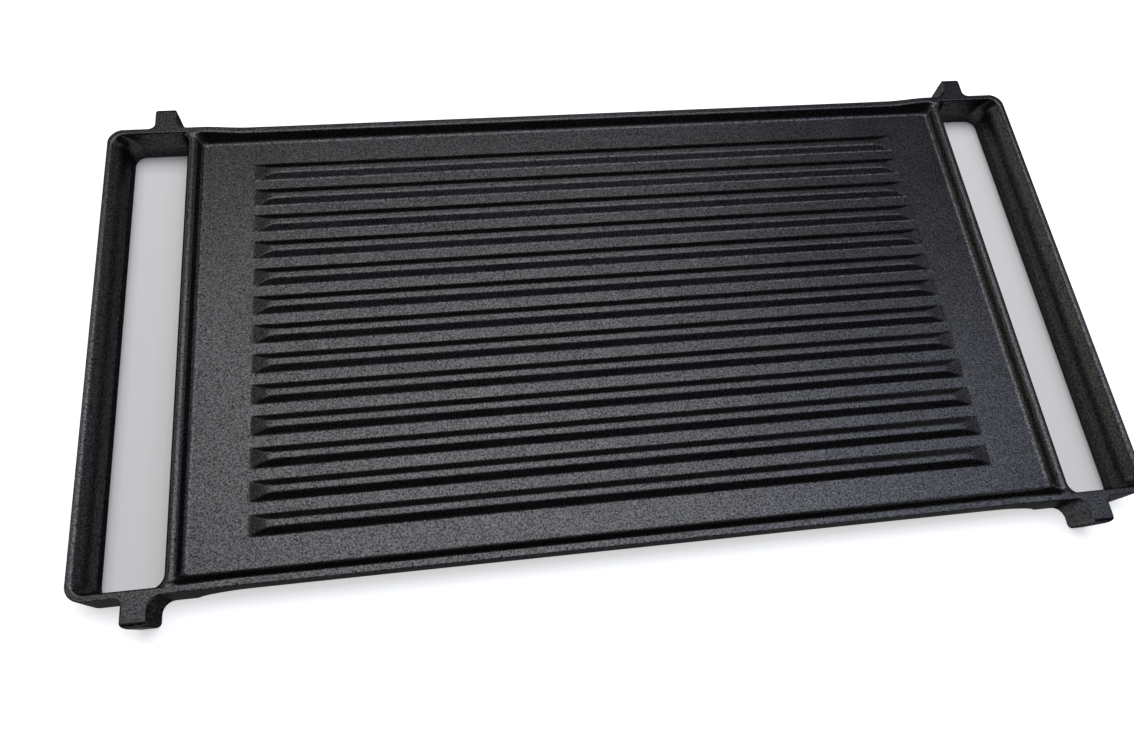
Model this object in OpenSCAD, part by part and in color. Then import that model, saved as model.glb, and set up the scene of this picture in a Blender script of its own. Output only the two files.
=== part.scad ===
// Reversible cast iron griddle plate: a ribbed cooking face inside a low rim,
// with a slotted handle and two locating lugs at each end.
// Millimetres, +Z up. The origin is the centre of the resting face, and X runs along the ribs.
// The iron is one casting. The sub-parts are its regions, and they meet face to face.

/* [Overall] */
// Length over the two handle bars
overall_l = 520; // [480:1:560]
// Width over the side walls of the end frames, without the lugs
frame_w = 251; // [240:1:270]
// Height of the cooking face above the resting face
plate_z = 15; // [13:0.1:18]
// Radius of the outer corners in plan
corner_r = 8; // [5:0.5:12]
// Soft round on the rim's top edges
edge_r = 0.9; // [0.4:0.1:1.1]
// Height of the mould's parting line on the end frames
parting_z = 8; // [6:0.1:10]
// How far a wall steps in from the parting line to its top or foot
draft = 0.4; // [0.1:0.05:0.7]

/* [Cooking plate] */
// Thickness of the cooking plate
plate_t = 4; // [3.2:0.1:5.5]
// Depth of the lip below the smooth underside
under_lip = 2.5; // [1.8:0.1:3]
// Radius of the cove inside that lip
under_cove_r = 1.2; // [0.6:0.1:1.5]

/* [Ribs] */
// Number of ribs across the plate
rib_count = 13; // [5:1:13]
// Spacing of the ribs
rib_pitch = 16.25; // [12:0.05:17]
// Length of a rib
rib_l = 367; // [300:1:390]
// Height of a rib above the cooking face
rib_h = 2.2; // [1.2:0.1:3]
// Width of a rib at its root
rib_root_w = 9.8; // [7:0.1:11]
// Width of a rib's crown
rib_crown_w = 2.2; // [1:0.1:4]
// Slope of the ramp at each end of a rib, in degrees
rib_ramp_a = 15; // [10:1:25]
// Radius of the round from that ramp into the crown
rib_ramp_r = 20; // [8:1:24]

/* [Side rails] */
// Thickness of the rails and of the end frames' side walls
rail_t = 3.4; // [2.6:0.1:4.4]
// Height of the rails' rim above the cooking face
rail_lip = 4.4; // [4.2:0.1:5.4]
// How far the rails stand in from the end frames' side walls
rail_in = 0.9; // [0.3:0.1:1.6]
// Radius of the cove between the cooking face and a rail
cove_r = 3; // [1.5:0.1:3.2]

/* [End frames] */
// Height of the end frames' rim above the cooking face
frame_lip = 5.8; // [5.2:0.1:7]
// Length over which the rim climbs from a rail to an end frame
rise_l = 26; // [15:1:30]
// Level stretch of rim between that climb and the hand slot
rise_gap = 6; // [4:0.5:10]
// Length of the arch that springs from an end frame's foot
arch_l = 30; // [20:1:32]
// Length of the foot between the arch and the hand slot
foot_l = 11; // [6:0.5:14]

/* [Hand slots] */
// Width of a hand slot at the parting line
slot_w = 32.5; // [26:0.5:38]
// Radius of a hand slot's corners
slot_r = 6; // [3:0.5:8]
// How far the slot's end walls stand in at the parting line
slot_draft = 0.3; // [0.1:0.05:0.6]

/* [Handle bars] */
// Width of a handle bar at the parting line
bar_w = 8.5; // [7.5:0.1:12]
// How far the bar's lower inner face falls back from the parting line to its foot
bar_under = 1.5; // [0.5:0.1:2.5]
// How far the bar's upper inner face falls back from the parting line to the chamfer
bar_lean = 1.7; // [0.5:0.1:2.5]
// Width of the chamfer under the bar's rim
bar_chamfer_w = 3.4; // [2:0.1:4.2]
// Height of the chamfer under the bar's rim
bar_chamfer_h = 4; // [2:0.1:6]

/* [End beads] */
// Height of the bead beside a hand slot, above the cooking face
bead_lip = 5.2; // [4.6:0.1:5.6]
// Radius of the bead's crown
bead_r = 2.8; // [2:0.1:3.2]
// Radius of the cove between the cooking face and the bead
bead_cove_r = 2.2; // [1.2:0.1:2.8]
// Slope of the bead's flank between the cove and the crown, in degrees
bead_flank_a = 58; // [50:1:66]

/* [Lugs] */
// Width of a lug
lug_w = 11; // [8:0.5:14]
// How far a lug stands out from the side wall
lug_out = 11.5; // [8:0.5:16]
// Distance from the end of the cooking plate to the middle of a lug
lug_pos = 11.5; // [11:0.5:20]
// Radius of the fillet on a lug's inner side
lug_fillet_in = 6; // [3:0.5:8]
// Radius of the fillet on a lug's outer side
lug_fillet_out = 3.3; // [1.5:0.1:5]
// Radius of a lug's outer corners
lug_r = 1.6; // [0.5:0.1:2.5]

/* [Hidden] */
iron = "#232325";
// Steps of a cove, of an edge round, of a corner in plan and of the rim's climb
cove_n = 6;
edge_n = 2;
corner_n = 8;
climb_n = 12;
// Flat margin between the plate's seams and the start of a cove
seam_flat = 1;
// Overshoot of a cutting solid
past = 1;

frame_h = plate_z + frame_lip;
rail_z = plate_z + rail_lip;
under_z = plate_z - plate_t;
low_z = under_z - under_lip;
rail_parting_z = plate_z - plate_t / 2;

// Along X: the plate's end at the hand slot, the seams of the bead and of the rail
end_x = overall_l / 2;
tray_x = end_x - bar_w - slot_w;
bead_seam_x = bead_cove_x() - seam_flat;
rise_x = tray_x - rise_gap - rise_l;
arch_x = tray_x - foot_l - arch_l;
rail_seam_x = min(rise_x, arch_x) - seam_flat;

// Across Y: outer and inner faces of the end frame's side wall and of the rail, and the seams
frame_y = frame_w / 2;
wall_y = frame_y - rail_t;
rail_y = frame_y - rail_in;
bar_seam_y = wall_y - slot_draft - slot_r;
plate_seam_y = min(rail_y - rail_t - cove_r - seam_flat, bar_seam_y);

// The handle bar's inner faces
bar_in_x = end_x - bar_w;
bar_rim_x = bar_in_x + bar_lean + bar_chamfer_w;
chamfer_z = frame_h - edge_r - bar_chamfer_h;

lug_x = tray_x + lug_pos;

function ease(t) = let (u = min(1, max(0, t))) u * u * (3 - 2 * u);

function arc(cx, cy, r, a0, a1, n) =
  [for (i = [0:n]) let (a = a0 + (a1 - a0) * i / n) [cx + r * cos(a), cy + r * sin(a)]];

// Start of the bead's cove on the cooking face: a straight flank touches the cove and the crown
function bead_cove_x() =
  let (both_r = bead_cove_r + bead_r,
       flank_h = bead_lip - both_r * (1 - cos(bead_flank_a)))
  end_x - bar_w - slot_w - bead_r - both_r * sin(bead_flank_a) - flank_h / tan(bead_flank_a);

// Section of the bead in X and Z, from the plate's seam to the hand slot
function bead_section() =
  let (cove_x = bead_cove_x(),
       crown_x = tray_x - bead_r,
       crown_z = plate_z + bead_lip - bead_r)
  concat(
    [[bead_seam_x, under_z], [bead_seam_x, plate_z]],
    arc(cove_x, plate_z + bead_cove_r, bead_cove_r, -90, bead_flank_a - 90, cove_n),
    arc(crown_x, crown_z, bead_r, bead_flank_a + 90, 0, cove_n),
    [[tray_x, low_z], [tray_x - 2 * bead_r, low_z]],
    arc(tray_x - 2 * bead_r - under_cove_r, under_z - under_cove_r, under_cove_r, 0, 90, edge_n)
  );

// Section of a side wall in Y and Z, from its outer face round by foot, under lip, plate seam and rim.
// It starts level with the plate, at a point that the whole section can be seen from.
function wall_section(out_y, top_z, foot_z, part_z) =
  let (in_y = out_y - rail_t,
       start_z = plate_z - plate_t / 4,
       start_in = draft * (start_z - part_z) / (top_z - edge_r - part_z))
  concat(
    [[out_y - start_in, start_z], [out_y, part_z], [out_y - draft, foot_z], [in_y, foot_z]],
    arc(in_y - under_cove_r, under_z - under_cove_r, under_cove_r, 0, 90, edge_n),
    [[plate_seam_y, under_z], [plate_seam_y, plate_z]],
    arc(in_y - cove_r, plate_z + cove_r, cove_r, -90, 0, cove_n),
    arc(in_y + edge_r, top_z - edge_r, edge_r, 180, 90, edge_n),
    arc(out_y - draft - edge_r, top_z - edge_r, edge_r, 90, 0, edge_n)
  );

// The same section at a place along the end frame, where the rim climbs and the foot arches down
function climb_section(x) =
  let (t = ease((x - rise_x) / rise_l),
       a = min(1, max(0, (x - arch_x) / arch_l)))
  wall_section(
    rail_y + rail_in * t,
    rail_z + (frame_h - rail_z) * t,
    low_z * sqrt(1 - a * a),
    rail_parting_z + (parting_z - rail_parting_z) * ease(a)
  );

// Section of a handle bar in X and Z
function bar_section() = concat(
  [[bar_in_x + bar_under, 0], [end_x - draft, 0], [end_x, parting_z]],
  arc(end_x - draft - edge_r, frame_h - edge_r, edge_r, 0, 90, edge_n),
  arc(bar_rim_x + edge_r, frame_h - edge_r, edge_r, 90, 180, edge_n),
  [[bar_in_x + bar_lean, chamfer_z], [bar_in_x, parting_z]]
);

// Half a rounded oblong in plan, square at the plate's end and round towards the bar
function end_ring(x0, x1, y, r) = concat(
  [[x0, -y]],
  arc(x1 - r, r - y, r, -90, 0, corner_n),
  arc(x1 - r, y - r, r, 0, 90, corner_n),
  [[x0, y]]
);

// Heights and insets of the end frame's outer face
function frame_rings() = concat(
  [[0, draft], [parting_z, 0]],
  [for (p = arc(draft + edge_r, frame_h - edge_r, edge_r, 180, 90, edge_n)) [p[1], p[0]]]
);

// Heights, reach in X and reach in Y of the hand slot, from below the foot to above the rim
function slot_rings() = concat(
  [[-past, bar_in_x + bar_under, wall_y], [0, bar_in_x + bar_under, wall_y]],
  [[parting_z, bar_in_x, wall_y - slot_draft], [chamfer_z, bar_in_x + bar_lean, wall_y]],
  [for (p = arc(edge_r, frame_h - edge_r, edge_r, 180, 90, edge_n))
    [p[1], bar_rim_x + p[0], wall_y + p[0]]],
  [[frame_h + past, bar_rim_x + edge_r, wall_y + edge_r]]
);

function rib_section() =
  let (half = rib_root_w / 2, crown = rib_crown_w / 2, n = cove_n)
  concat(
    [for (i = [0:n]) [-half + (half - crown) * i / n, rib_h * ease(i / n)]],
    [for (i = [0:n]) [crown + (half - crown) * i / n, rib_h * (1 - ease(i / n))]]
  );

// Side view of a rib: a straight ramp at each end, rounded into the crown
function rib_side() =
  let (full = rib_l / 2 - rib_h / tan(rib_ramp_a) - rib_ramp_r * tan(rib_ramp_a / 2))
  concat(
    [[rib_l / 2, 0]],
    arc(full, rib_h - rib_ramp_r, rib_ramp_r, 90 - rib_ramp_a, 90, cove_n),
    arc(-full, rib_h - rib_ramp_r, rib_ramp_r, 90, 90 + rib_ramp_a, cove_n),
    [[-rib_l / 2, 0]]
  );

// Solid through rings of equal point counts, each a list of 3D points
module loft(rings) {
  n = len(rings[0]);
  last = len(rings) - 1;
  polyhedron(
    points = [for (ring = rings) for (p = ring) p],
    faces = concat(
      [[for (i = [0:n - 1]) i]],
      [[for (i = [0:n - 1]) last * n + n - 1 - i]],
      [for (k = [0:last - 1]) for (i = [0:n - 1]) let (j = (i + 1) % n)
        for (f = [[k * n + j, k * n + i, (k + 1) * n + i], [k * n + j, (k + 1) * n + i, (k + 1) * n + j]]) f]
    )
  );
}

// End frame before the hand slot is cut, from a given place along X
module frame_block(x0) {
  loft([for (k = frame_rings()) [for (p = end_ring(x0, end_x - k[1], frame_y - k[1], corner_r - k[1]))
    [p[0], p[1], k[0]]]]);
}

module hand_slot() {
  loft([for (k = slot_rings()) [for (p = end_ring(tray_x - past, k[1], k[2], slot_r)) [p[0], p[1], k[0]]]]);
}

// Round in the slot's corner beside the bead
module slot_corner() {
  translate([0, 0, low_z])
    linear_extrude(plate_z + bead_lip - edge_r - low_z)
      difference() {
        translate([tray_x, wall_y - slot_r]) square(slot_r);
        translate([tray_x + slot_r, wall_y - slot_r]) circle(slot_r, $fn = 48);
      }
}

// Stretch of side wall where the rail grows into the end frame
module climbing_wall() {
  loft([for (k = [0:climb_n]) let (x = tray_x + (rail_seam_x - tray_x) * k / climb_n)
    [for (p = climb_section(x)) [x, p[0], p[1]]]]);
}

module bead_run(y0, y1) {
  translate([0, y1, 0])
    rotate([90, 0, 0])
      linear_extrude(y1 - y0)
        polygon(bead_section());
}

module rail() {
  rotate([90, 0, 90])
    linear_extrude(2 * rail_seam_x, center = true)
      polygon(wall_section(rail_y, rail_z, low_z, rail_parting_z));
}

module handle_bar() {
  rotate([90, 0, 0])
    linear_extrude(2 * bar_seam_y, center = true)
      polygon(bar_section());
}

// Side wall between a rail and a hand slot, with the bead's end and its share of the plate
module flank() {
  climbing_wall();
  bead_run(plate_seam_y, wall_y + draft);
}

// Side wall beside a hand slot, with the slot's corners and the end frame's outer corner
module corner() {
  slot_corner();
  difference() {
    frame_block(tray_x);
    hand_slot();
    translate([tray_x - past, bar_seam_y - frame_w, -past])
      cube([end_x, frame_w, frame_h + 2 * past]);
  }
}

module lug_outline() {
  inner = lug_x - lug_w / 2;
  outer = lug_x + lug_w / 2;
  difference() {
    translate([inner - lug_fillet_in, frame_y - rail_t / 2])
      square([lug_w + lug_fillet_in + lug_fillet_out, rail_t / 2 + lug_fillet_in]);
    translate([inner - lug_fillet_in, frame_y + lug_fillet_in]) circle(lug_fillet_in, $fn = 48);
    translate([outer + lug_fillet_out, frame_y + lug_fillet_out]) circle(lug_fillet_out, $fn = 48);
    translate([outer, frame_y + lug_fillet_out]) square([lug_fillet_out + past, lug_fillet_in + past]);
  }
  translate([inner, frame_y]) square([lug_w, lug_out - lug_r]);
  translate([inner + lug_r, frame_y]) square([lug_w - 2 * lug_r, lug_out]);
  for (x = [inner + lug_r, outer - lug_r])
    translate([x, frame_y + lug_out - lug_r]) circle(lug_r, $fn = 48);
}

module lug() {
  difference() {
    linear_extrude(frame_h) lug_outline();
    frame_block(tray_x - rise_gap);
  }
}

module cooking_plate() {
  color(iron)
    translate([-bead_seam_x, -plate_seam_y, under_z])
      cube([2 * bead_seam_x, 2 * plate_seam_y, plate_t]);
}

module sear_ribs() {
  color(iron)
    for (k = [0:rib_count - 1])
      translate([0, (k - (rib_count - 1) / 2) * rib_pitch, plate_z])
        intersection() {
          rotate([90, 0, 90]) linear_extrude(rib_l, center = true) polygon(rib_section());
          rotate([90, 0, 0]) linear_extrude(rib_root_w + 2 * past, center = true) polygon(rib_side());
        }
}

module back_rail() { color(iron) rail(); }
module front_rail() { color(iron) mirror([0, 1, 0]) rail(); }
module right_bead() { color(iron) bead_run(-plate_seam_y, plate_seam_y); }
module left_bead() { color(iron) mirror([1, 0, 0]) bead_run(-plate_seam_y, plate_seam_y); }
module right_handle_bar() { color(iron) handle_bar(); }
module left_handle_bar() { color(iron) mirror([1, 0, 0]) handle_bar(); }
module back_right_flank() { color(iron) flank(); }
module back_right_corner() { color(iron) corner(); }
module back_left_flank() { color(iron) mirror([1, 0, 0]) flank(); }
module back_left_corner() { color(iron) mirror([1, 0, 0]) corner(); }
module front_right_flank() { color(iron) mirror([0, 1, 0]) flank(); }
module front_right_corner() { color(iron) mirror([0, 1, 0]) corner(); }
module front_left_flank() { color(iron) mirror([1, 0, 0]) mirror([0, 1, 0]) flank(); }
module front_left_corner() { color(iron) mirror([1, 0, 0]) mirror([0, 1, 0]) corner(); }
module back_right_lug() { color(iron) lug(); }
module back_left_lug() { color(iron) mirror([1, 0, 0]) lug(); }
module front_right_lug() { color(iron) mirror([0, 1, 0]) lug(); }
module front_left_lug() { color(iron) mirror([1, 0, 0]) mirror([0, 1, 0]) lug(); }

cooking_plate();
sear_ribs();
front_rail();
back_rail();
left_bead();
right_bead();
left_handle_bar();
right_handle_bar();
front_left_flank();
front_left_corner();
front_right_flank();
front_right_corner();
back_left_flank();
back_left_corner();
back_right_flank();
back_right_corner();
front_left_lug();
front_right_lug();
back_left_lug();
back_right_lug();
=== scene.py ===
"""Looks of a reversible cast iron griddle plate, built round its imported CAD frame.

The casting is described once, as a signed field in millimetres. Each region of it is meshed from that
field and cut at its seams, so neighbouring pieces meet on the same surface.
"""

import logging
import math
from dataclasses import dataclass, field
from enum import Enum
from typing import Callable, Dict, List, Optional, Sequence, Tuple

import bmesh
import bpy
import numpy as np
from mathutils import Matrix, Vector

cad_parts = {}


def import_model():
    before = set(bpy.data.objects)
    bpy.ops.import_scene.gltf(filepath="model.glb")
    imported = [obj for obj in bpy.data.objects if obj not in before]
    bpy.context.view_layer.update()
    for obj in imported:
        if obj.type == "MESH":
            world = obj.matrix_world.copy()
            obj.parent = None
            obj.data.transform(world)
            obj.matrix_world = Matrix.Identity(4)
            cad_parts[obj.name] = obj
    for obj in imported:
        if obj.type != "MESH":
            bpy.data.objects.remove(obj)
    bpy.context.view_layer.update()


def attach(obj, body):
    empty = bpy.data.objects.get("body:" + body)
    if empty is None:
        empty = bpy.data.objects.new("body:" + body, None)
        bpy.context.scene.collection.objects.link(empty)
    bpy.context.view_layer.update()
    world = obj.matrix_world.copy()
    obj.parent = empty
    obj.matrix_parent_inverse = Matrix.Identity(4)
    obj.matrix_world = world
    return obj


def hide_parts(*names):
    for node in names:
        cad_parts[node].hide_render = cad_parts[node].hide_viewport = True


LOG = logging.getLogger("griddle")
MM = 0.001
TINY = 1e-9
SHARP_EDGE = math.radians(50.0)
BODY = "root"

Array = np.ndarray
Field = Callable[[np.ndarray], np.ndarray]
Vec3 = Tuple[float, float, float]


class Side(Enum):
    """End of the plate along X."""

    LEFT = -1
    RIGHT = 1


class Flank(Enum):
    """Edge of the plate along Y."""

    FRONT = -1
    BACK = 1


def ease(t: Array) -> Array:
    """Smooth step between 0 and 1.

    Args:
        t: position along the step, clipped to 0..1.

    Returns:
        The eased position.
    """
    u = np.clip(t, 0.0, 1.0)
    return u * u * (3.0 - 2.0 * u)


def round_cut(a: Array, b: Array, r: float) -> Array:
    """Intersection of two fields with a rounded edge.

    Args:
        a: first field.
        b: second field.
        r: radius of the edge.

    Returns:
        The combined field.
    """
    u = np.maximum(a + r, 0.0)
    v = np.maximum(b + r, 0.0)
    return np.minimum(-r, np.maximum(a, b)) + np.hypot(u, v)


def round_join(a: Array, b: Array, r: float) -> Array:
    """Union of two fields with a fillet between them.

    Args:
        a: first field.
        b: second field.
        r: radius of the fillet.

    Returns:
        The combined field.
    """
    u = np.maximum(r - a, 0.0)
    v = np.maximum(r - b, 0.0)
    return np.maximum(r, np.minimum(a, b)) - np.hypot(u, v)


def soft_max(a: Array, b: Array, k: float) -> Array:
    """Maximum of two values with a rounded change-over.

    Args:
        a: first value.
        b: second value.
        k: width of the change-over.

    Returns:
        The blended maximum.
    """
    h = np.clip(0.5 + 0.5 * (a - b) / k, 0.0, 1.0)
    return b + (a - b) * h + k * h * (1.0 - h)


def fillet(u: Array, v: Array, r: float, reach: float) -> Array:
    """Prism that fills the corner between two faces with a concave round.

    Args:
        u: distance out from the first face.
        v: distance out from the second face.
        r: radius of the round.
        reach: how far the prism runs in behind the faces.

    Returns:
        The prism's field.
    """
    return np.maximum.reduce([r - np.hypot(u - r, v - r), u - r, v - r, -u - reach, -v - reach])


def corner(x: Array, y: Array, x1: Array, y1: Array, r: float) -> Array:
    """Distance to the quarter plane below x1 and y1, with a round corner.

    Args:
        x: position along X.
        y: position along Y.
        x1: reach along X.
        y1: reach along Y.
        r: radius of the corner.

    Returns:
        The signed distance, negative inside.
    """
    qx = x - (x1 - r)
    qy = y - (y1 - r)
    return np.hypot(np.maximum(qx, 0.0), np.maximum(qy, 0.0)) + np.minimum(np.maximum(qx, qy), 0.0) - r


def height_block(name: str, gx: Array, gy: Array, top: Array, base: Array) -> bpy.types.Mesh:
    """Closed block between two height grids.

    Args:
        name: name of the mesh.
        gx: X of the grid's points in millimetres.
        gy: Y of the grid's points.
        top: heights of the upper face.
        base: heights of the lower face.

    Returns:
        The mesh, smooth but for its sharp edges.
    """
    nx, ny = gx.shape
    verts = np.concatenate([np.stack([gx, gy, z], axis=-1).reshape(-1, 3) for z in (top, base)])
    faces = []
    for level, flip in ((0, False), (nx * ny, True)):
        for i in range(nx - 1):
            for j in range(ny - 1):
                a = level + i * ny + j
                quad = [a, a + ny, a + ny + 1, a + 1]
                faces.append(quad[::-1] if flip else quad)
    rim = [i * ny for i in range(nx)] + [(nx - 1) * ny + j for j in range(1, ny)]
    rim += [i * ny + ny - 1 for i in range(nx - 2, -1, -1)] + list(range(ny - 2, 0, -1))
    for a, b in zip(rim, rim[1:] + rim[:1]):
        faces.append([a + nx * ny, b + nx * ny, b, a])
    mesh = bpy.data.meshes.new(name)
    mesh.from_pydata((verts * MM).tolist(), [], faces)
    mesh.shade_smooth()
    mesh.set_sharp_from_angle(angle=SHARP_EDGE)
    return mesh


@dataclass(frozen=True)
class CastingSpec:
    """Sizes of the casting in millimetres, given for its back right quarter, which the others mirror."""

    end_x: float = 260.0
    frame_y: float = 125.5
    frame_h: float = 20.8
    corner_r: float = 8.0
    edge_r: float = 0.9
    rim_r: float = 0.3
    foot_r: float = 0.6
    parting_z: float = 8.0
    draft: float = 0.05
    plate_z: float = 15.0
    under_z: float = 11.0
    low_z: float = 8.5
    under_cove_r: float = 1.2
    rail_y: float = 125.0
    rail_z: float = 19.4
    rail_in_y: float = 121.3
    rail_foot_y: float = 117.8
    rail_edge_r: float = 0.6
    rail_cove_r: float = 1.1
    tray_corner_r: float = 3.0
    rail_parting_z: float = 13.0
    tray_x: float = 219.0
    rise_x: float = 187.0
    rise_l: float = 26.0
    arch_x: float = 178.0
    arch_l: float = 30.0
    toe_r: float = 2.0
    wall_y: float = 122.1
    slot_r: float = 6.0
    slot_draft: float = 0.3
    bar_in_x: float = 251.5
    bar_under: float = 1.0
    bar_lean: float = 1.3
    bar_soft: float = 0.25
    chamfer_z: float = 14.6
    chamfer_w: float = 3.8
    chamfer_h: float = 5.3
    chamfer_soft: float = 1.6
    bead_lip: float = 5.2
    bead_r: float = 2.9
    bead_cove_r: float = 1.5
    bead_flank_a: float = 64.0
    bead_end: float = 6.0
    lug_x: float = 230.5
    lug_w: float = 11.0
    lug_out: float = 12.8
    lug_r: float = 2.4
    lug_end_r: float = 2.2
    lug_draft: float = 1.3
    lug_draft_z: float = 16.0
    lug_fillet_in: float = 6.0
    lug_fillet_out: float = 3.3
    rail_seam_x: float = 177.0
    bead_seam_x: float = 209.18
    seam_y: float = 115.8
    rib_count: int = 13
    rib_pitch: float = 16.25
    rib_l: float = 367.0
    rib_h: float = 2.2
    rib_root_w: float = 10.3
    rib_flank_a: float = 32.0
    rib_ramp_l: float = 16.0
    rib_soft: float = 0.4
    # How far forms run into their neighbours or stop short of them, inside the iron.
    overlap: float = 1.0
    sunk: float = 2.0
    rail_run_on: float = 3.0
    rail_stop: float = 1.8
    slot_overlap: float = 1.5
    frame_in: float = 5.0
    bead_clear: float = 2.0
    bead_tuck: float = 0.6


class CastingField:
    """Signed field of the whole casting, negative inside the iron."""

    NUDGE: float = 0.05

    def __init__(self, spec: CastingSpec) -> None:
        """Keeps the sizes.

        Args:
            spec: sizes of the casting.
        """
        self.spec = spec

    def __call__(self, p: Array) -> Array:
        """Field at points.

        Args:
            p: points in millimetres, with the coordinates on the last axis.

        Returns:
            The field's values.
        """
        s = self.spec
        x, y, z = np.abs(p[..., 0]), np.abs(p[..., 1]), p[..., 2]
        in_y, top, wall, side = self._side_wall(x, y, z)
        crown, lip = self._bead(x, y, z)
        inside = y - (in_y + s.overlap)
        web = np.maximum.reduce([z - s.plate_z, s.under_z - z, x - (s.tray_x - s.bead_r), inside])
        under = fillet(in_y - y, s.under_z - z, s.under_cove_r, s.overlap)
        under = np.maximum(under, x - (s.tray_x - s.overlap))
        slot_round = fillet(x - s.tray_x, s.wall_y - y, s.slot_r, s.slot_overlap)
        slot_round = np.maximum(slot_round, z - s.plate_z)
        slot_round = round_cut(slot_round, s.low_z - z, s.foot_r)
        near_bead = ease(0.5 + (side - crown) / s.tray_corner_r / 2.0)
        cove_r = s.rail_cove_r + (s.bead_cove_r - s.rail_cove_r) * near_bead
        rim = round_cut(round_join(side, crown, s.tray_corner_r), z - top, s.rail_edge_r)
        tray = round_join(rim, web, cove_r)
        return np.minimum.reduce([tray, wall, lip, under, slot_round, self._end_frame(x, y, z)])

    def _side_wall(self, x: Array, y: Array, z: Array) -> Tuple[Array, Array, Array, Array]:
        """Rail that grows into the end frame, with a sloping inner side.

        Args:
            x: position along X.
            y: position along Y.
            z: height.

        Returns:
            The wall's upper inner edge along Y, its top, the wall's field, and the inner slope's field.
        """
        s = self.spec
        climb = ease((x - s.rise_x) / s.rise_l)
        arch = np.clip((x - s.arch_x) / s.arch_l, 0.0, 1.0)
        out_y = s.rail_y + (s.frame_y - s.rail_y) * climb
        in_y = s.rail_in_y + (s.wall_y - s.rail_in_y) * climb
        top = s.rail_z + (s.frame_h - s.rail_z) * climb
        foot = s.low_z * np.sqrt(np.maximum(1.0 - arch**2, 0.0))
        along, up = np.maximum(x - s.arch_x, 0.0) / s.arch_l, z / s.low_z
        ring = np.maximum(np.hypot(along, up), TINY)
        clear = (1.0 - ring) * ring / np.maximum(np.hypot(along / s.arch_l, up / s.low_z), TINY)
        part = s.rail_parting_z + (s.parting_z - s.rail_parting_z) * ease(arch)
        above = (z - part) / (top - s.edge_r - part)
        below = (part - z) / (part - foot)
        face_out = y - out_y + s.draft * np.where(z > part, above, below)
        wall = np.maximum(round_cut(face_out, z - top, s.rim_r), round_cut(in_y - y, z - top, s.edge_r))
        wall = round_cut(wall, round_cut(clear, -z, s.toe_r), s.foot_r)
        wall = np.maximum(wall, x - (s.tray_x + s.rail_run_on))
        fade = ease((x - (s.tray_x - s.bead_clear - s.bead_end)) / s.bead_end)
        rise, run = top - s.plate_z, (in_y - s.rail_foot_y) * (1.0 - fade)
        side = ((in_y - y) * rise + (z - top) * run) / np.hypot(rise, run)
        limits = [y - (in_y + s.overlap), s.plate_z - s.sunk - z, x - (s.tray_x - s.rail_stop)]
        return in_y, top, wall, np.maximum.reduce([side, *limits])

    def _bead(self, x: Array, y: Array, z: Array) -> Tuple[Array, Array]:
        """Rounded bead between the cooking face and a hand slot.

        Args:
            x: position along X.
            y: position along Y.
            z: height.

        Returns:
            The field of the bead above the cooking face, and the field of the lip below it.
        """
        s = self.spec
        slope = math.radians(s.bead_flank_a)
        lean, climb = math.sin(slope), math.cos(slope)
        inner_x = s.tray_x - 2.0 * s.bead_r
        dx, dz = x - (s.tray_x - s.bead_r), z - (s.plate_z + s.bead_lip - s.bead_r)
        slot = round_join(x - s.tray_x, s.wall_y - y, s.slot_r) + s.bead_r
        sides = np.maximum(slot, dz * climb - dx * lean) - s.bead_r
        across = np.maximum(slot, np.minimum(dx, 0.0))
        over = (dz > 0.0) & (dx * climb + dz * lean > 0.0)
        crown = np.where(over, np.hypot(across, dz) - s.bead_r, sides)
        end = y - (s.wall_y + s.bead_tuck)
        crown = np.maximum.reduce([crown, s.plate_z - s.sunk - z, end, x - (s.tray_x + s.slot_r)])
        lip = np.maximum.reduce([x - s.tray_x, inner_x - x, z - s.plate_z])
        lip = round_cut(lip, s.low_z - z, s.foot_r)
        under = fillet(inner_x - x, s.under_z - z, s.under_cove_r, s.overlap)
        return crown, np.maximum(np.minimum(lip, under), end)

    def _bar_face(self, z: Array) -> Array:
        """Inner face of a handle bar along X.

        Args:
            z: height.

        Returns:
            The face's place at that height.
        """
        s = self.spec
        low = s.bar_in_x + s.bar_under * (s.parting_z - z) / s.parting_z
        mid = s.bar_in_x + s.bar_lean * (z - s.parting_z) / (s.chamfer_z - s.parting_z)
        top = s.bar_in_x + s.bar_lean + (z - s.chamfer_z) * s.chamfer_w / s.chamfer_h
        return soft_max(soft_max(low, mid, s.bar_soft), top, s.chamfer_soft)

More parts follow.
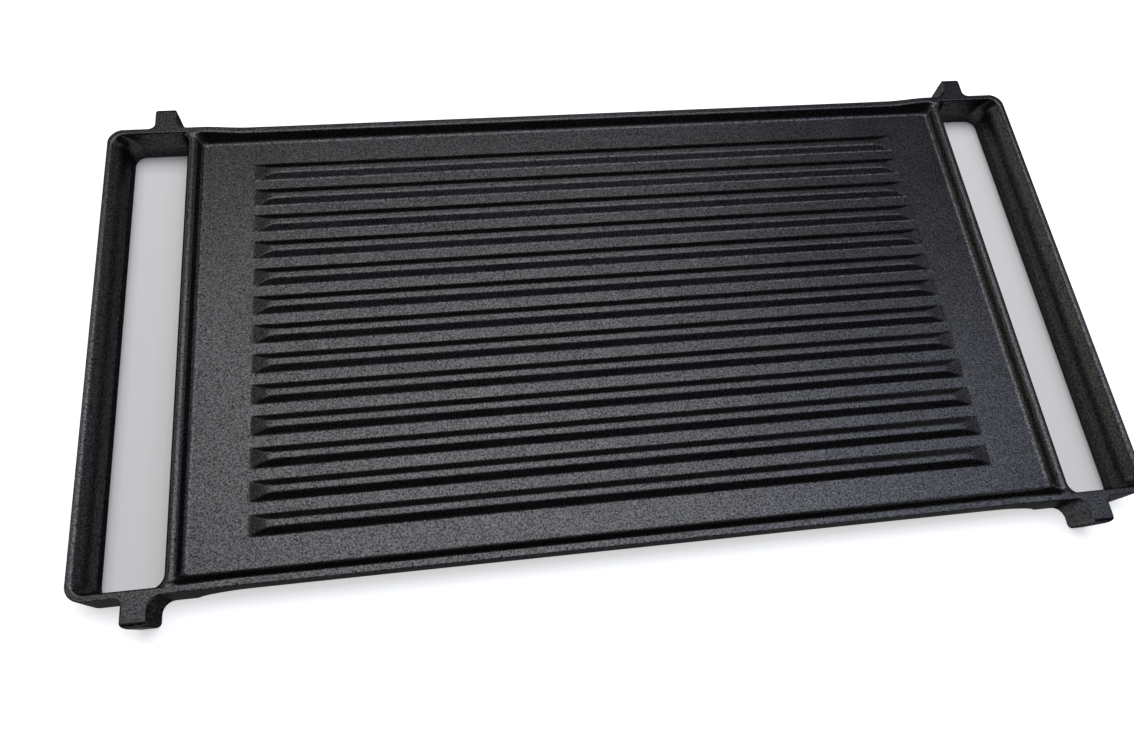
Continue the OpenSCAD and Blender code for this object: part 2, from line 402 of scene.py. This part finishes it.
    def _end_frame(self, x: Array, y: Array, z: Array) -> Array:
        """Handle bar, side walls beside the hand slot, outer corner and lug.

        Args:
            x: position along X.
            y: position along Y.
            z: height.

        Returns:
            The end frame's field.
        """
        s = self.spec
        above = (z - s.parting_z) / (s.frame_h - s.edge_r - s.parting_z)
        below = (s.parting_z - z) / s.parting_z
        lean = s.draft * np.where(z > s.parting_z, above, below)
        outer = corner(x, y, s.end_x, s.frame_y, s.corner_r) + lean
        half = s.lug_w / 2.0
        reach = s.frame_y + s.lug_out - s.lug_draft * np.clip(1.0 - z / s.lug_draft_z, 0.0, 1.0)
        lug = corner(np.abs(x - s.lug_x), y, half, reach, s.lug_r)
        away = y - s.frame_y
        root_in = fillet(s.lug_x - half - x, away, s.lug_fillet_in, s.lug_w)
        root_out = fillet(x - s.lug_x - half, away, s.lug_fillet_out, s.lug_w)
        outer = np.minimum.reduce([outer, lug, root_in, root_out])
        reach_x = self._bar_face(z)
        slope = (self._bar_face(z + self.NUDGE) - self._bar_face(z - self.NUDGE)) / (2.0 * self.NUDGE)
        reach_y = s.wall_y - s.slot_draft * np.clip(1.0 - np.abs(z - s.parting_z) / s.parting_z, 0.0, 1.0)
        qx, qy = x - (reach_x - s.slot_r), y - (reach_y - s.slot_r)
        both = np.hypot(np.maximum(qx, 0.0), np.maximum(qy, 0.0))
        facing = np.where(np.minimum(qx, qy) > 0.0, qx / np.maximum(both, TINY), (qx > qy) * 1.0)
        slot = corner(x, y, reach_x, reach_y, s.slot_r) / np.sqrt(1.0 + (slope * facing) ** 2)
        over = z - s.frame_h
        ring = np.maximum(round_cut(outer, over, s.rim_r), round_cut(-slot, over, s.edge_r))
        ring = np.maximum(ring, round_cut(y - reach, over, s.lug_end_r))
        ring = round_cut(ring, -z, s.foot_r)
        return np.maximum(ring, s.tray_x - s.frame_in - x)


@dataclass(frozen=True)
class PrismField:
    """Field of a stretch of the casting whose section stays the same along one axis."""

    casting: CastingField
    axis: int

    def __call__(self, p: Array) -> Array:
        """Field at points, taken at the casting's middle plane.

        Args:
            p: points in millimetres, with the coordinates on the last axis.

        Returns:
            The field's values.
        """
        middle = p.copy()
        middle[..., self.axis] = 0.0
        return self.casting(middle)


class FieldMesher:
    """Turns a box of the field into a closed quad mesh."""

    CORNERS: List[Tuple[int, int, int]] = [(i, j, k) for i in (0, 1) for j in (0, 1) for k in (0, 1)]
    STEPS: int = 4
    DELTA: float = 0.02
    MIN_SLOPE: float = 0.05
    MAX_MOVE: float = 0.4

    def __init__(self, casting: Field) -> None:
        """Keeps the field.

        Args:
            casting: field to mesh.
        """
        self.casting = casting

    def net(self, low: Vec3, high: Vec3, step: Vec3) -> Tuple[Array, Array]:
        """Meshes the surface inside a box.

        Args:
            low: lowest corner in millimetres.
            high: highest corner in millimetres.
            step: cell size along each axis.

        Returns:
            Vertices in millimetres, and quads of vertex numbers with outward normals.
        """
        axes = [np.arange(low[i], high[i] + step[i], step[i]) for i in range(3)]
        grid = np.stack(np.meshgrid(*axes, indexing="ij"), axis=-1)
        value = self.casting(grid)
        for axis in range(3):
            for end in (0, -1):
                rim = tuple(end if i == axis else slice(None) for i in range(3))
                value[rim] = np.maximum(value[rim], min(step))
        shape = tuple(n - 1 for n in value.shape)
        total = np.zeros(shape + (3,))
        count = np.zeros(shape)
        for a in self.CORNERS:
            for axis in range(3):
                if a[axis]:
                    continue
                b = tuple(1 if i == axis else a[i] for i in range(3))
                va, vb = self._shift(value, a, shape), self._shift(value, b, shape)
                cross = (va < 0) != (vb < 0)
                t = np.where(cross, va / np.where(cross, va - vb, 1.0), 0.0)
                for i in range(3):
                    total[..., i] += cross * (a[i] + (t if i == axis else 0.0))
                count += cross
        active = count > 0
        ids = np.full(shape, -1)
        ids[active] = np.arange(int(active.sum()))
        place = np.argwhere(active) + total[active] / count[active][:, None]
        verts = np.array(low) + place * np.array(step)
        return self._settle(verts, min(step)), self._quads(value < 0, ids)

    @staticmethod
    def _shift(value: Array, by: Sequence[int], shape: Sequence[int]) -> Array:
        """Values at one corner of every cell.

        Args:
            value: values at the grid's points.
            by: which corner.
            shape: number of cells along each axis.

        Returns:
            One value per cell.
        """
        return value[tuple(slice(b, b + n) for b, n in zip(by, shape))]

    @staticmethod
    def _quads(inside: Array, ids: Array) -> Array:
        """Quads round every grid edge that crosses the surface.

        Args:
            inside: which grid points are in the iron.
            ids: vertex number of each cell.

        Returns:
            Quads with outward normals.
        """
        quads = []
        for axis in range(3):
            u, v = [(1, 2), (2, 0), (0, 1)][axis]
            here = [slice(1, -1)] * 3
            there = [slice(1, -1)] * 3
            here[axis], there[axis] = slice(0, -1), slice(1, None)
            a, b = inside[tuple(here)], inside[tuple(there)]
            edge = np.argwhere(a != b)
            out = a[a != b]
            loop = []
            for du, dv in ((0, 0), (1, 0), (1, 1), (0, 1)):
                cell = edge.copy()
                cell[:, u] += du
                cell[:, v] += dv
                loop.append(ids[tuple(cell.T)])
            q = np.stack(loop, axis=1)
            q[~out] = q[~out][:, ::-1]
            quads.append(q)
        return np.concatenate(quads)

    def _settle(self, verts: Array, step: float) -> Array:
        """Moves vertices onto the surface.

        Args:
            verts: vertices near the surface.
            step: smallest cell size, which limits each move.

        Returns:
            The settled vertices.
        """
        for _ in range(self.STEPS):
            slope = np.empty_like(verts)
            for axis in range(3):
                nudge = np.zeros(3)
                nudge[axis] = self.DELTA
                change = self.casting(verts + nudge) - self.casting(verts - nudge)
                slope[:, axis] = change / (2.0 * self.DELTA)
            size = np.maximum((slope**2).sum(axis=1), self.MIN_SLOPE)
            move = -self.casting(verts)[:, None] * slope / size[:, None]
            length = np.linalg.norm(move, axis=1, keepdims=True)
            verts = verts + move * np.minimum(1.0, self.MAX_MOVE * step / np.maximum(length, TINY))
        return verts


@dataclass(frozen=True)
class Cut:
    """Seam plane: what lies on its outer side goes to the neighbouring piece."""

    at: Vec3
    outward: Vec3


@dataclass(frozen=True)
class Noise:
    """Noise pattern on object coordinates, with its scale per metre."""

    scale: float
    detail: float
    rough: float

    def add(self, mat: bpy.types.Material, coords: bpy.types.Node) -> bpy.types.NodeSocket:
        """Adds the pattern to a material.

        Args:
            mat: the material.
            coords: its texture coordinate node.

        Returns:
            The pattern's value.
        """
        noise = mat.node_tree.nodes.new("ShaderNodeTexNoise")
        noise.inputs["Scale"].default_value = self.scale
        noise.inputs["Detail"].default_value = self.detail
        noise.inputs["Roughness"].default_value = self.rough
        mat.node_tree.links.new(coords.outputs["Object"], noise.inputs["Vector"])
        return noise.outputs["Fac"]


@dataclass(frozen=True)
class CastIronFinish:
    """Sand-cast black iron with a satin, seasoned surface."""

    name: str = "cast_iron"
    dark: Vec3 = (0.009, 0.009, 0.0095)
    light: Vec3 = (0.103, 0.103, 0.1065)
    roughness: Tuple[float, float] = (0.33, 0.39)
    edge_tint: float = 0.2
    spread: Tuple[float, float] = (0.3, 0.7)
    grain: Noise = Noise(1150.0, 2.0, 0.6)
    pits: Noise = Noise(420.0, 2.0, 0.5)
    cloud: Noise = Noise(40.0, 3.0, 0.55)
    grain_height: float = 0.00006
    pit_height: float = 0.00006

    def build(self) -> bpy.types.Material:
        """Builds the material.

        Returns:
            The new material.
        """
        mat = bpy.data.materials.new(self.name)
        mat.use_nodes = True
        nodes, links = mat.node_tree.nodes, mat.node_tree.links
        shader = nodes["Principled BSDF"]
        shader.inputs["Metallic"].default_value = 1.0
        shader.inputs["Specular Tint"].default_value = (self.edge_tint, self.edge_tint, self.edge_tint, 1.0)
        coords = nodes.new("ShaderNodeTexCoord")
        grain, pits, cloud = (noise.add(mat, coords) for noise in (self.grain, self.pits, self.cloud))
        tone = nodes.new("ShaderNodeMix")
        tone.data_type = "RGBA"
        tone.inputs["A"].default_value = (*self.dark, 1.0)
        tone.inputs["B"].default_value = (*self.light, 1.0)
        links.new(self._range(mat, grain, (0.0, 1.0)), tone.inputs["Factor"])
        links.new(tone.outputs["Result"], shader.inputs["Base Color"])
        links.new(self._range(mat, cloud, self.roughness), shader.inputs["Roughness"])
        coarse = self._bump(mat, pits, self.pit_height)
        fine = self._bump(mat, grain, self.grain_height)
        links.new(coarse.outputs["Normal"], fine.inputs["Normal"])
        links.new(fine.outputs["Normal"], shader.inputs["Normal"])
        return mat

    def _range(
        self, mat: bpy.types.Material, value: bpy.types.NodeSocket, to: Tuple[float, float]
    ) -> bpy.types.NodeSocket:
        """Stretches the middle of a noise pattern over a range.

        Args:
            mat: the material.
            value: the pattern's value.
            to: least and greatest result.

        Returns:
            The stretched value.
        """
        node = mat.node_tree.nodes.new("ShaderNodeMapRange")
        node.inputs["From Min"].default_value, node.inputs["From Max"].default_value = self.spread
        node.inputs["To Min"].default_value, node.inputs["To Max"].default_value = to
        mat.node_tree.links.new(value, node.inputs["Value"])
        return node.outputs["Result"]

    @staticmethod
    def _bump(mat: bpy.types.Material, height: bpy.types.NodeSocket, distance: float) -> bpy.types.Node:
        """Adds a bump from a noise pattern.

        Args:
            mat: the material.
            height: the pattern's value.
            distance: height of the bumps in metres.

        Returns:
            The bump node.
        """
        bump = mat.node_tree.nodes.new("ShaderNodeBump")
        bump.inputs["Strength"].default_value = 1.0
        bump.inputs["Distance"].default_value = distance
        mat.node_tree.links.new(height, bump.inputs["Height"])
        return bump


@dataclass
class CastRegion:
    """Region of the casting, meshed in the back right quarter and mirrored to its places."""

    low: Vec3
    high: Vec3
    step: Vec3
    cuts: Sequence[Cut]
    places: Dict[str, Tuple[int, int]]
    prism: Optional[int] = None
    snap: float = 0.0001
    merge: float = 0.002
    pieces: List[bpy.types.Object] = field(default_factory=list)

    def build(self, casting: CastingField) -> None:
        """Meshes the region, cuts it at its seams and puts a copy at each place.

        Args:
            casting: the casting's field.
        """
        shape = casting if self.prism is None else PrismField(casting, self.prism)
        verts, quads = FieldMesher(shape).net(self.low, self.high, self.step)
        source = bpy.data.meshes.new("region")
        source.from_pydata((verts * MM).tolist(), [], quads.tolist())
        for name, (sx, sy) in self.places.items():
            form = bmesh.new()
            form.from_mesh(source)
            for face in form.faces:
                face.smooth = True
            for cut in self.cuts:
                self._trim(form, cut)
            bmesh.ops.remove_doubles(form, verts=form.verts, dist=self.merge * MM)
            bmesh.ops.transform(form, matrix=Matrix.Diagonal((sx, sy, 1.0, 1.0)), verts=form.verts)
            if sx * sy < 0:
                bmesh.ops.reverse_faces(form, faces=form.faces)
            mesh = bpy.data.meshes.new(name)
            form.to_mesh(mesh)
            form.free()
            piece = bpy.data.objects.new("visual_" + name, mesh)
            bpy.context.scene.collection.objects.link(piece)
            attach(piece, BODY)
            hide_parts(name)
            self.pieces.append(piece)
            LOG.info("%s: %d faces", name, len(mesh.polygons))
        bpy.data.meshes.remove(source)

    def _trim(self, form: bmesh.types.BMesh, cut: Cut) -> None:
        """Cuts the mesh at a seam and closes it with a flat cap.

        Args:
            form: mesh to cut.
            cut: the seam.
        """
        done = bmesh.ops.bisect_plane(
            form,
            geom=[*form.verts, *form.edges, *form.faces],
            dist=self.snap * MM,
            plane_co=Vector(cut.at) * MM,
            plane_no=cut.outward,
            clear_outer=True,
        )
        edges = [e for e in done["geom_cut"] if isinstance(e, bmesh.types.BMEdge)]
        caps = bmesh.ops.edgeloop_fill(form, edges=edges)["faces"]
        for cap in caps:
            cap.smooth = False
            for edge in cap.edges:
                edge.smooth = False
        bmesh.ops.recalc_face_normals(form, faces=form.faces)

    def dress(self, material: bpy.types.Material) -> None:
        """Gives the pieces their finish.

        Args:
            material: the finish.
        """
        for piece in self.pieces:
            piece.data.materials.append(material)


@dataclass
class CookingPlate:
    """Flat plate between the seams of the rails and the beads, with the slight waves of a sand casting."""

    spec: CastingSpec
    cell: float = 5.0
    wave_h: float = 0.02
    wave_l: float = 9.0
    wave_pace: Tuple[float, float] = (0.7, 0.6)
    wave_bend: Tuple[float, float] = (1.3, 1.1)
    wave_cross: float = 0.8
    wave_shift: Tuple[float, float] = (0.0, 2.0)
    fade_l: float = 20.0
    piece: Optional[bpy.types.Object] = None

    def _waves(self, gx: Array, gy: Array, shift: float) -> Array:
        """Unevenness of a face, which fades out at the seams.

        Args:
            gx: X of the grid's points.
            gy: Y of the grid's points.
            shift: where the waves start.

        Returns:
            Heights to add in millimetres.
        """
        s = self.spec
        to_x, to_y = s.bead_seam_x - np.abs(gx), s.seam_y - np.abs(gy)
        fade = ease(to_x / self.fade_l) * ease(to_y / self.fade_l)
        u, v = gx / self.wave_l + shift, gy / self.wave_l - shift
        along = np.sin(u + self.wave_bend[0] * np.sin(self.wave_pace[0] * v))
        across = np.cos(self.wave_cross * v + self.wave_bend[1] * np.sin(self.wave_pace[1] * u))
        return self.wave_h * fade * along * across

    def build(self) -> None:
        """Builds the plate as a closed block."""
        s = self.spec
        counts = [round(2.0 * half / self.cell) + 1 for half in (s.bead_seam_x, s.seam_y)]
        xs = np.linspace(-s.bead_seam_x, s.bead_seam_x, counts[0])
        ys = np.linspace(-s.seam_y, s.seam_y, counts[1])
        gx, gy = np.meshgrid(xs, ys, indexing="ij")
        top = s.plate_z + self._waves(gx, gy, self.wave_shift[0])
        base = s.under_z + self._waves(gx, gy, self.wave_shift[1])
        mesh = height_block("cooking_plate", gx, gy, top, base)
        self.piece = bpy.data.objects.new("visual_cooking_plate", mesh)
        bpy.context.scene.collection.objects.link(self.piece)
        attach(self.piece, BODY)
        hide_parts("cooking_plate")
        LOG.info("cooking_plate: %d faces", len(mesh.polygons))

    def dress(self, material: bpy.types.Material) -> None:
        """Gives the plate its finish.

        Args:
            material: the finish.
        """
        self.piece.data.materials.append(material)


@dataclass
class SearRibs:
    """Row of ribs, laid out by a node tree from one rib."""

    spec: CastingSpec
    sink: float = 0.3
    tuck: float = 0.01
    across: int = 40
    along: int = 30
    piece: Optional[bpy.types.Object] = None

    def build(self, material: bpy.types.Material) -> None:
        """Builds one rib, repeats it across the plate and keeps the result as a mesh.

        Args:
            material: finish that the node tree sets.
        """
        s = self.spec
        host = bpy.data.objects.new("visual_sear_ribs", self._rib_mesh())
        bpy.context.scene.collection.objects.link(host)
        modifier = host.modifiers.new("row", "NODES")
        tree = self._row_tree()
        modifier.node_group = tree
        sockets = {i.name: i.identifier for i in tree.interface.items_tree if i.item_type == "SOCKET"}
        modifier[sockets["Count"]] = s.rib_count
        modifier[sockets["Pitch"]] = s.rib_pitch * MM
        modifier[sockets["Finish"]] = material
        graph = bpy.context.evaluated_depsgraph_get()
        row = bpy.data.meshes.new_from_object(host.evaluated_get(graph))
        host.modifiers.remove(modifier)
        old = host.data
        host.data = row
        bpy.data.meshes.remove(old)
        bpy.data.node_groups.remove(tree)
        self.piece = host
        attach(host, BODY)
        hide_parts("sear_ribs")
        LOG.info("sear_ribs: %d faces", len(row.polygons))

    def _rib_mesh(self) -> bpy.types.Mesh:
        """One rib as a closed mesh, centred across the plate.

        Returns:
            The rib's mesh.
        """
        s = self.spec
        flank, full = math.tan(math.radians(s.rib_flank_a)), s.rib_h + s.rib_soft
        ramp = 2.0 * full / s.rib_ramp_l
        half, end = s.rib_root_w / 2.0 + s.rib_soft / flank, s.rib_l / 2.0 + s.rib_soft / ramp
        ends = np.linspace(s.rib_l / 2.0 - s.rib_ramp_l, end, self.along + 1)
        xs = np.concatenate([-ends[::-1], ends])
        ys = np.linspace(-half, half, self.across + 1)
        gx, gy = np.meshgrid(xs, ys, indexing="ij")
        left = np.maximum(1.0 - (s.rib_l / 2.0 - np.abs(gx)) / s.rib_ramp_l, 0.0)
        fall = soft_max((np.abs(gy) - s.rib_root_w / 2.0) * flank, full * (left**2 - 1.0), s.rib_soft)
        crown = -soft_max(fall, np.full_like(gx, -s.rib_h), s.rib_soft)
        gz = s.plate_z + soft_max(crown, np.zeros_like(gx), s.rib_soft) - self.tuck
        return height_block("rib", gx, gy, gz, np.full_like(gx, s.plate_z - self.sink))

    @staticmethod
    def _row_tree() -> bpy.types.NodeTree:
        """Node tree that repeats a rib along Y.

        Returns:
            The tree, with named inputs for the count, the pitch and the finish.
        """
        tree = bpy.data.node_groups.new("rib_row", "GeometryNodeTree")
        face = tree.interface
        face.new_socket("Geometry", in_out="INPUT", socket_type="NodeSocketGeometry")
        face.new_socket("Count", in_out="INPUT", socket_type="NodeSocketInt")
        face.new_socket("Pitch", in_out="INPUT", socket_type="NodeSocketFloat")
        face.new_socket("Finish", in_out="INPUT", socket_type="NodeSocketMaterial")
        face.new_socket("Geometry", in_out="OUTPUT", socket_type="NodeSocketGeometry")
        nodes, links = tree.nodes, tree.links
        source = nodes.new("NodeGroupInput")
        less = nodes.new("ShaderNodeMath")
        less.operation = "SUBTRACT"
        less.inputs[1].default_value = 1.0
        links.new(source.outputs["Count"], less.inputs[0])
        span = nodes.new("ShaderNodeMath")
        span.operation = "MULTIPLY"
        links.new(less.outputs[0], span.inputs[0])
        links.new(source.outputs["Pitch"], span.inputs[1])
        start = nodes.new("ShaderNodeMath")
        start.operation = "MULTIPLY"
        start.inputs[1].default_value = -0.5
        links.new(span.outputs[0], start.inputs[0])
        first = nodes.new("ShaderNodeCombineXYZ")
        links.new(start.outputs[0], first.inputs["Y"])
        offset = nodes.new("ShaderNodeCombineXYZ")
        links.new(source.outputs["Pitch"], offset.inputs["Y"])
        line = nodes.new("GeometryNodeMeshLine")
        line.mode = "OFFSET"
        links.new(source.outputs["Count"], line.inputs["Count"])
        links.new(first.outputs["Vector"], line.inputs["Start Location"])
        links.new(offset.outputs["Vector"], line.inputs["Offset"])
        place = nodes.new("GeometryNodeInstanceOnPoints")
        links.new(line.outputs["Mesh"], place.inputs["Points"])
        links.new(source.outputs["Geometry"], place.inputs["Instance"])
        real = nodes.new("GeometryNodeRealizeInstances")
        links.new(place.outputs["Instances"], real.inputs["Geometry"])
        paint = nodes.new("GeometryNodeSetMaterial")
        links.new(real.outputs["Geometry"], paint.inputs["Geometry"])
        links.new(source.outputs["Finish"], paint.inputs["Material"])
        result = nodes.new("NodeGroupOutput")
        links.new(paint.outputs["Geometry"], result.inputs["Geometry"])
        return tree


@dataclass(frozen=True)
class Lamp:
    """Soft rectangular light that faces the plate."""

    name: str
    place: Vec3
    size: Tuple[float, float]
    power: float
    target: Vec3 = (0.0, 0.0, 0.0)
    color: Vec3 = (1.0, 1.0, 1.0)

    def build(self) -> None:
        """Adds the light, facing its target."""
        data = bpy.data.lights.new(self.name, "AREA")
        data.shape = "RECTANGLE"
        data.size, data.size_y = self.size
        data.energy = self.power
        data.color = self.color
        lamp = bpy.data.objects.new(self.name, data)
        lamp.location = self.place
        aim = Vector(self.target) - Vector(self.place)
        lamp.rotation_euler = aim.to_track_quat("-Z", "Y").to_euler()
        bpy.context.scene.collection.objects.link(lamp)


@dataclass(frozen=True)
class Studio:
    """White floor with painted shade under the plate, soft lights and the camera."""

    eye: Vec3 = (-0.08002, -0.19208, 0.41224)
    right: Vec3 = (0.98954, -0.11744, 0.08376)
    down: Vec3 = (-0.07827, -0.92489, -0.3721)
    ahead: Vec3 = (0.12117, 0.36165, -0.92441)
    lens: float = 26.712
    sensor: float = 36.0
    clip: Tuple[float, float] = (0.01, 20.0)
    floor_half: float = 12.0
    floor_color: Vec3 = (0.86, 0.86, 0.86)
    floor_glow: float = 0.6
    floor_rough: float = 0.9
    floor_shine: float = 0.1
    # Painted shade: the floor under the plate gets a duller colour and no glow, standing in for the shade
    # there.
    painted_shade_color: Vec3 = (0.87, 0.85, 0.82)
    painted_shade_glow: float = 0.0
    painted_shade_half: Tuple[float, float] = (0.2555, 0.1225)
    fill: float = 0.02
    lamps: Sequence[Lamp] = (
        Lamp("overhead_left", (-0.155, 0.57, 1.7), (1.69, 1.19), 16.9, (-0.155, 0.57, 0.0)),
        Lamp(
            "overhead_right",
            (0.553, 0.205, 1.7),
            (1.894, 0.857),
            13.5,
            (0.553, 0.205, 0.0),
            (0.79, 0.84, 1.0),
        ),
        Lamp("left_wall", (-1.3, 0.55, 0.56), (1.25, 0.3), 2.8, color=(1.0, 0.93, 0.86)),
        Lamp("right_wall", (1.3, 0.6, 0.45), (1.3, 0.5), 2.1, color=(0.93, 0.96, 1.0)),
    )

    def build(self) -> None:
        """Builds the floor, the lights, the fill and the camera."""
        self._floor()
        self._world()
        for lamp in self.lamps:
            lamp.build()
        self._camera()
        bpy.context.scene.view_settings.view_transform = "Standard"

    def _floor(self) -> None:
        """Adds the white floor, with painted shade: a duller field without the glow where the plate stands
        over it.
        """
        h = self.floor_half
        w, d = self.painted_shade_half
        outer = [(-h, -h, 0), (h, -h, 0), (h, h, 0), (-h, h, 0)]
        inner = [(-w, -d, 0), (w, -d, 0), (w, d, 0), (-w, d, 0)]
        rings = [(i, (i + 1) % 4, (i + 1) % 4 + 4, i + 4) for i in range(4)]
        mesh = bpy.data.meshes.new("floor")
        mesh.from_pydata(outer + inner, [], [*rings, (4, 5, 6, 7)])
        for name, color, glow in (
            ("floor_white", self.floor_color, self.floor_glow),
            # Painted shade under the plate: a duller colour and no glow.
            ("floor_under_plate", self.painted_shade_color, self.painted_shade_glow),
        ):
            mesh.materials.append(self._floor_finish(name, color, glow))
        mesh.polygons[len(rings)].material_index = 1
        floor = bpy.data.objects.new("floor", mesh)
        bpy.context.scene.collection.objects.link(floor)

    def _floor_finish(self, name: str, color: Vec3, glow: float) -> bpy.types.Material:
        """Matt floor that looks a little brighter than the light on it.

        Args:
            name: name of the material.
            color: colour of the floor.
            glow: white added where the floor is seen directly or in a reflection.

        Returns:
            The new material.
        """
        mat = bpy.data.materials.new(name)
        mat.use_nodes = True
        nodes, links = mat.node_tree.nodes, mat.node_tree.links
        shader = nodes["Principled BSDF"]
        shader.inputs["Base Color"].default_value = (*color, 1.0)
        shader.inputs["Roughness"].default_value = self.floor_rough
        shader.inputs["Specular IOR Level"].default_value = self.floor_shine
        path = nodes.new("ShaderNodeLightPath")
        seen = nodes.new("ShaderNodeMath")
        seen.operation = "ADD"
        links.new(path.outputs["Is Camera Ray"], seen.inputs[0])
        links.new(path.outputs["Is Glossy Ray"], seen.inputs[1])
        also = nodes.new("ShaderNodeMath")
        also.operation = "ADD"
        also.use_clamp = True
        links.new(seen.outputs[0], also.inputs[0])
        links.new(path.outputs["Is Transmission Ray"], also.inputs[1])
        level = nodes.new("ShaderNodeMath")
        level.operation = "MULTIPLY"
        level.inputs[1].default_value = glow
        links.new(also.outputs[0], level.inputs[0])
        shader.inputs["Emission Color"].default_value = (1.0, 1.0, 1.0, 1.0)
        links.new(level.outputs[0], shader.inputs["Emission Strength"])
        return mat

    def _world(self) -> None:
        """Adds an even fill from all round."""
        world = bpy.data.worlds.new("studio")
        world.use_nodes = True
        back = world.node_tree.nodes["Background"]
        back.inputs["Color"].default_value = (1.0, 1.0, 1.0, 1.0)
        back.inputs["Strength"].default_value = self.fill
        bpy.context.scene.world = world

    def _camera(self) -> None:
        """Adds the camera and makes it the scene's."""
        data = bpy.data.cameras.new("camera")
        data.lens = self.lens
        data.sensor_width = self.sensor
        data.sensor_fit = "HORIZONTAL"
        data.clip_start, data.clip_end = self.clip
        camera = bpy.data.objects.new("camera", data)
        axes = Matrix((self.right, -Vector(self.down), -Vector(self.ahead))).transposed()
        camera.matrix_world = Matrix.Translation(self.eye) @ axes.to_4x4()
        bpy.context.scene.collection.objects.link(camera)
        bpy.context.scene.camera = camera


def regions(s: CastingSpec) -> List[CastRegion]:
    """Regions of the casting that are meshed from its field.

    Args:
        s: sizes of the casting.

    Returns:
        Rails, beads, bars, flanks, corners and lugs.
    """
    quarters = {
        f"{flank.name.lower()}_{side.name.lower()}": (side.value, flank.value)
        for flank in Flank
        for side in Side
    }
    sides = {side.name.lower(): (side.value, 1) for side in Side}
    flanks = {flank.name.lower(): (1, flank.value) for flank in Flank}
    fine, coarse = 0.4, 6.0
    past, run_on = 2.0, 9.0
    # The seams lie a little beside the faces, so that no cut runs along one.
    beside_x, beside_y = 0.05, 0.1
    split_x = s.tray_x + beside_x
    split_y = s.frame_y + beside_y
    in_seam = Cut((0.0, s.seam_y, 0.0), (0.0, -1.0, 0.0))
    y_ends = [Cut((0.0, sign * s.seam_y, 0.0), (0.0, sign, 0.0)) for sign in (1.0, -1.0)]
    x_ends = [Cut((sign * s.rail_seam_x, 0.0, 0.0), (sign, 0.0, 0.0)) for sign in (1.0, -1.0)]
    out_y = s.frame_y + s.lug_out + past
    top = s.frame_h + past
    rail = CastRegion(
        (-s.rail_seam_x - run_on, s.seam_y - past, s.low_z - past),
        (s.rail_seam_x + run_on, s.frame_y + past, top),
        (coarse, fine, fine),
        (*x_ends, in_seam),
        {f"{k}_rail": v for k, v in flanks.items()},
        prism=0,
    )
    bead = CastRegion(
        (s.bead_seam_x - past, -s.seam_y - run_on, s.low_z - past),
        (s.tray_x + past, s.seam_y + run_on, top),
        (fine, coarse, fine),
        (*y_ends, Cut((s.bead_seam_x, 0.0, 0.0), (-1.0, 0.0, 0.0))),
        {f"{k}_bead": v for k, v in sides.items()},
        prism=1,
    )
    bar = CastRegion(
        (s.bar_in_x - past, -s.seam_y - run_on, -past),
        (s.end_x + past, s.seam_y + run_on, top),
        (fine, coarse, fine),
        y_ends,
        {f"{k}_handle_bar": v for k, v in sides.items()},
        prism=1,
    )
    flank = CastRegion(
        (s.rail_seam_x - past, s.seam_y - past, -past),
        (split_x + past, s.frame_y + past, top),
        (fine, fine, fine),
        (
            in_seam,
            Cut((s.rail_seam_x, 0.0, 0.0), (-1.0, 0.0, 0.0)),
            Cut((split_x, 0.0, 0.0), (1.0, 0.0, 0.0)),
        ),
        {f"{k}_flank": v for k, v in quarters.items()},
    )
    end = (split_x - past, s.seam_y - past, -past), (s.end_x + past, out_y, top), (fine, fine, fine)
    frame_corner = CastRegion(
        *end,
        (
            in_seam,
            Cut((split_x, 0.0, 0.0), (-1.0, 0.0, 0.0)),
            Cut((0.0, split_y, 0.0), (0.0, 1.0, 0.0)),
        ),
        {f"{k}_corner": v for k, v in quarters.items()},
    )
    lug = CastRegion(
        (s.tray_x - past, s.frame_y - past, -past),
        (s.lug_x + s.lug_w + past, out_y, top),
        (fine, fine, fine),
        (Cut((0.0, split_y, 0.0), (0.0, -1.0, 0.0)),),
        {f"{k}_lug": v for k, v in quarters.items()},
    )
    return [rail, bead, bar, flank, frame_corner, lug]


def main() -> None:
    """Builds the griddle plate's looks and the studio round it."""
    logging.basicConfig(level=logging.INFO, format="%(name)s: %(message)s")
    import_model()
    spec = CastingSpec()
    casting = CastingField(spec)
    iron = CastIronFinish().build()
    plate = CookingPlate(spec)
    plate.build()
    plate.dress(iron)
    ribs = SearRibs(spec)
    ribs.build(iron)
    for region in regions(spec):
        region.build(casting)
        region.dress(iron)
    Studio().build()


if __name__ == "__main__":
    main()
